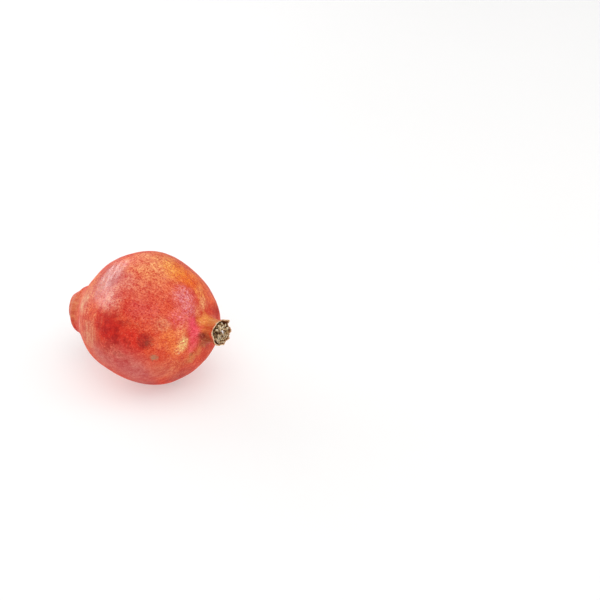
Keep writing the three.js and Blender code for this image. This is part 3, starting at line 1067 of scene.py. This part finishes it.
# Tints that a colour is multiplied by, where a pattern is dark and where it is light
MOTTLING_TINTS = ((0.91, 0.65, 0.69), (1.05, 1.38, 1.3))
GRAIN_TINTS = ((0.82, 0.27, 0.33), (1.13, 1.98, 1.95))
STREAK_TINTS = ((0.93, 0.6, 0.56), (1.04, 1.5, 1.46))

# Where the outline goes from outside skin to torn edge and on to the cup's inside, in spans
EDGE_SPANS = (RIM_SPAN + 0.45, RIM_SPAN + 0.95)
CUP_SPANS = (RIM_SPAN + 1.9, RIM_SPAN + 2.5)


def skin_centre(a, turn):
    return tuple(float(v) for v in skin_point(a, turn))


def patch_mask(shading, warped, a, turn, radius, softness):
    distance = shading.vector("DISTANCE", warped, skin_centre(a, turn))
    return shading.ramp(distance, radius * MM, radius * MM * (1 - softness))


def mark_mask(shading, ragged, a, turn, length, width):
    """An oval mark whose length runs along the fruit, with a soft uneven edge."""
    offset = shading.vector("SUBTRACT", ragged, skin_centre(a, turn))
    offset = shading.vector("MULTIPLY", offset, (width / length, 1, 1))
    distance = shading.vector("LENGTH", offset, (0, 0, 0))
    return shading.ramp(distance, width / 2 * MM, width / 7 * MM)


def ground_colour(shading, warped):
    """Two reds with all the patches of colour laid over them, evenly or in specks, some of them painted
    sheen, reflection or shade.
    """
    colour = shading.blend(*REDS, shading.ramp(shading.pattern(*BROAD_REDS), 0.35, 0.65))
    specks = [shading.ramp(shading.pattern(*kind), 0.4, 0.6) for kind in PATCH_SPECKS]
    for i, (a, turn, radius, softness, strength, grain, paint) in enumerate(PATCHES):
        mask = patch_mask(shading, warped, a, turn, radius, softness)
        strewn = shading.ramp(specks[i % len(specks)], 0, 1, strength * (1 - grain), strength)
        colour = shading.over(colour, paint, shading.times(mask, strewn))
    return colour


def add_grain(shading, colour, lively, strokes, crimson):
    """Mottling drawn out along the fruit, fine grain, pale specks and dots, and short dark strokes."""
    drawn = shading.ramp(shading.pattern(*MOTTLING), 0.36, 0.64)
    colour = shading.mottle(colour, drawn, *MOTTLING_TINTS)
    grains = shading.ramp(shading.pattern(*GRAIN), 0.38, 0.62)
    grains = shading.math("MULTIPLY_ADD", shading.math("SUBTRACT", grains, 0.5), lively, 0.5)
    colour = shading.mottle(colour, grains, *GRAIN_TINTS)
    pale = shading.ramp(shading.pattern(*PALE_SPECKS), 0.58, 0.68)
    colour = shading.over(colour, SPECK_COLOUR, shading.times(pale, lively, 0.42))
    dots = shading.ramp(shading.off_cells(*DOTS), 0.2, 0.1)
    fields = shading.ramp(shading.pattern(*DOT_FIELDS), 0.5, 0.62, 0.0, 0.38)
    fewer = shading.ramp(crimson, 0, 1, 1.0, 0.3)
    colour = shading.over(colour, DOT_COLOUR, shading.times(dots, lively, fields, fewer))
    return shading.over(colour, STROKE_COLOUR, strokes)


def add_large_marks(shading, colour, warped, streaks, crimson):
    """Streaks that run round the fruit on its shoulder, and dark blotches in the crimson zone."""
    shoulder = patch_mask(shading, warped, *SHOULDER, 0.6)
    combed = shading.mottle(colour, shading.ramp(streaks, 0.38, 0.62), *STREAK_TINTS)
    combed = shading.over(combed, STREAK_COLOUR, shading.ramp(streaks, 0.56, 0.68, 0.0, 0.5))
    colour = shading.mix(colour, combed, shoulder)
    blotches = shading.ramp(shading.pattern(*BLOTCHES), 0.46, 0.6, 0.0, 0.75)
    return shading.over(colour, BLOTCH_COLOUR, shading.times(blotches, crimson))


def add_small_marks(shading, colour):
    """Scars, stains, painted highlights and the faint ring, all of uneven strength and with ragged edges.
    """
    ragged = shading.shifted(*MARK_SHIFT)
    uneven_strength = shading.ramp(shading.pattern(*MARK_UNEVENNESS), 0.35, 0.6, 0.45, 1.0)
    for a, turn, length, width, strength, paint in MARKS:
        mask = mark_mask(shading, ragged, a, turn, length, width)
        colour = shading.over(colour, paint, shading.times(mask, uneven_strength, strength))
    a, turn, radius = RING_MARK
    distance = shading.vector("DISTANCE", ragged, skin_centre(a, turn))
    off_ring = shading.math("ABSOLUTE", shading.math("SUBTRACT", distance, radius * MM))
    ring = shading.ramp(off_ring, 0.0008, 0.0002)
    return shading.over(colour, RING_COLOUR, shading.times(ring, uneven_strength, 0.4))


def add_crown_edge(shading, colour):
    """The dry torn edge and the inside of the cup, whose dark brown is partly painted shade. The second
    result is 1 from the edge inwards.
    """
    fibres = shading.times(shading.pattern(*TORN_FIBRES), 1.6)
    dry = shading.math("ADD", shading.attribute("span"), fibres)
    edge = shading.ramp(dry, *EDGE_SPANS)
    crumbs = shading.ramp(shading.pattern(*CRUMBS), 0.35, 0.65)
    colour = shading.mix(colour, shading.blend(*RIM_COLOURS, crumbs), edge)
    colour = shading.mix(colour, shading.blend(*CUP_BROWNS_AND_SHADE, crumbs), shading.ramp(dry, *CUP_SPANS))
    return colour, edge


def wax_weight(shading, warped, streaks, strokes):
    """How thick the wax lies: in a few zones, broken up by streaks, glints and the dark strokes."""
    zones = []
    for a, turn, radius, weight in WAX:
        mask = patch_mask(shading, warped, a, turn, radius, 0.6)
        zones.append(shading.times(mask, weight))
    wax = shading.greatest(zones)
    wax = shading.times(wax, shading.ramp(streaks, 0.34, 0.6, 1.4, 0.5))
    wax = shading.times(wax, shading.ramp(shading.pattern(*GLINTS), 0.36, 0.64, 0.55, 1.5))
    return shading.times(wax, shading.math("SUBTRACT", 1.15, shading.times(strokes, 0.8)))


def rind_material():
    shading = Shading("pomegranate_rind")
    warped = shading.shifted(*PATCH_SHIFT)
    calm = shading.greatest([patch_mask(shading, warped, *zone, 0.5) for zone in CALM])
    lively = shading.ramp(calm, 0, 1, 1.0, 0.5)
    crimson = patch_mask(shading, warped, *CRIMSON, 0.7)
    strokes = shading.times(shading.ramp(shading.pattern(*STROKES), 0.6, 0.7), lively, 0.8)
    streaks = shading.pattern(*STREAKS)

    colour = ground_colour(shading, warped)
    colour = add_grain(shading, colour, lively, strokes, crimson)
    colour = add_large_marks(shading, colour, warped, streaks, crimson)
    colour = add_small_marks(shading, colour)
    colour, edge = add_crown_edge(shading, colour)
    shading.set("Base Color", colour)

    rough = shading.ramp(shading.pattern(*GLOSS), 0.3, 0.7, 0.5, 0.6)
    rough = shading.math("ADD", rough, shading.times(edge, 0.4))
    shading.set("Roughness", rough)
    shading.set("Specular IOR Level", 0.12)
    wax = wax_weight(shading, warped, streaks, strokes)
    wax = shading.times(wax, shading.math("SUBTRACT", 1.0, edge))
    shading.set("Coat Weight", wax)
    shading.set("Coat Roughness", 0.2)
    dimples = shading.bump(shading.pattern(*DIMPLES), 0.0006, 0.9)
    normal = shading.bump(shading.pattern(*FINE_LINES), 0.0002, 0.8, dimples)
    shading.set("Normal", normal)
    return shading.material


# Dry plant matter as the display colours of its dark, middling and light shapes, and its roughness
FILAMENT = ((100, 58, 32), (190, 146, 100), (240, 224, 196), 0.75)
ANTHER = ((92, 52, 30), (190, 152, 102), (246, 230, 198), 0.8)
STYLE = ((140, 126, 116), (200, 192, 188), (240, 238, 242), 0.7)
STAMEN_DISC = ((52, 30, 18), (92, 62, 38), (120, 88, 58), 0.85)
DRY_SPECKLES = (0.0005, 3, 0.6, None, 1.0)
MIDDLE_TONE = 0.45


def dry_material(name, dark, middle, light, rough):
    """Dry plant matter, dark to light by each shape's own tone, with speckles."""
    shading = Shading(name)
    speckle = shading.pattern(*DRY_SPECKLES)
    uneven_tone = shading.times(shading.math("SUBTRACT", speckle, 0.5), 1.2)
    tone = shading.math("ADD", shading.attribute("tone"), uneven_tone)
    low = shading.blend(dark, middle, shading.ramp(tone, 0.0, MIDDLE_TONE))
    colour = shading.over(low, light, shading.ramp(tone, MIDDLE_TONE, 1.0))
    shading.set("Base Color", colour)
    shading.set("Roughness", rough)
    shading.set("Specular IOR Level", 0.3)
    shading.set("Normal", shading.bump(speckle, 0.00015, 0.6))
    return shading.material


# The stem's bark and its cut face, and where along the core the two meet, in metres
BARK_COLOURS = ((74, 52, 36), (150, 118, 84))
CUT_COLOURS = ((160, 128, 90), (206, 180, 140))
CUT_RINGS = (0.0008, 3, 0.6, None, 2.0)
BARK_DRAWN_OUT = (0.2, 1, 1)
CUT_FACE = (STUB_END * MM + 0.0006, STUB_END * MM + 0.0002)


def bark_material():
    shading = Shading("stem_wood")
    along = shading.vector("MULTIPLY", shading.straight(), BARK_DRAWN_OUT)
    fibres = shading.noise(0.0006, 4, 0.6, along, 1.0)
    bark = shading.blend(*BARK_COLOURS, shading.ramp(fibres, 0.35, 0.65))
    cut = shading.blend(*CUT_COLOURS, shading.ramp(shading.pattern(*CUT_RINGS), 0.35, 0.65))
    split = shading.node("ShaderNodeSeparateXYZ")
    shading.feed(split.inputs[0], shading.straight())
    face = shading.ramp(split.outputs[0], *CUT_FACE)
    shading.set("Base Color", shading.mix(bark, cut, face))
    shading.set("Roughness", 0.8)
    shading.set("Specular IOR Level", 0.25)
    shading.set("Normal", shading.bump(fibres, 0.0003, 0.7))
    return shading.material


def finish_piece(piece, material, node):
    """Gives a piece its material, hangs it under the root body and hides the solid that it stands in for.
    """
    piece.data.materials.append(material)
    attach(piece, "root")
    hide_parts(node)


add_camera()
add_studio()
finish_piece(make_rind(), rind_material(), "rind")
filaments, anthers = make_stamens()
finish_piece(filaments, dry_material("filament", *FILAMENT), "stamens")
finish_piece(anthers, dry_material("anther", *ANTHER), "stamens")
finish_piece(make_style(), dry_material("style", *STYLE), "stamens")
finish_piece(make_stamen_base(), dry_material("stamen_disc", *STAMEN_DISC), "stamens")
finish_piece(make_stem(), bark_material(), "stem_stub")
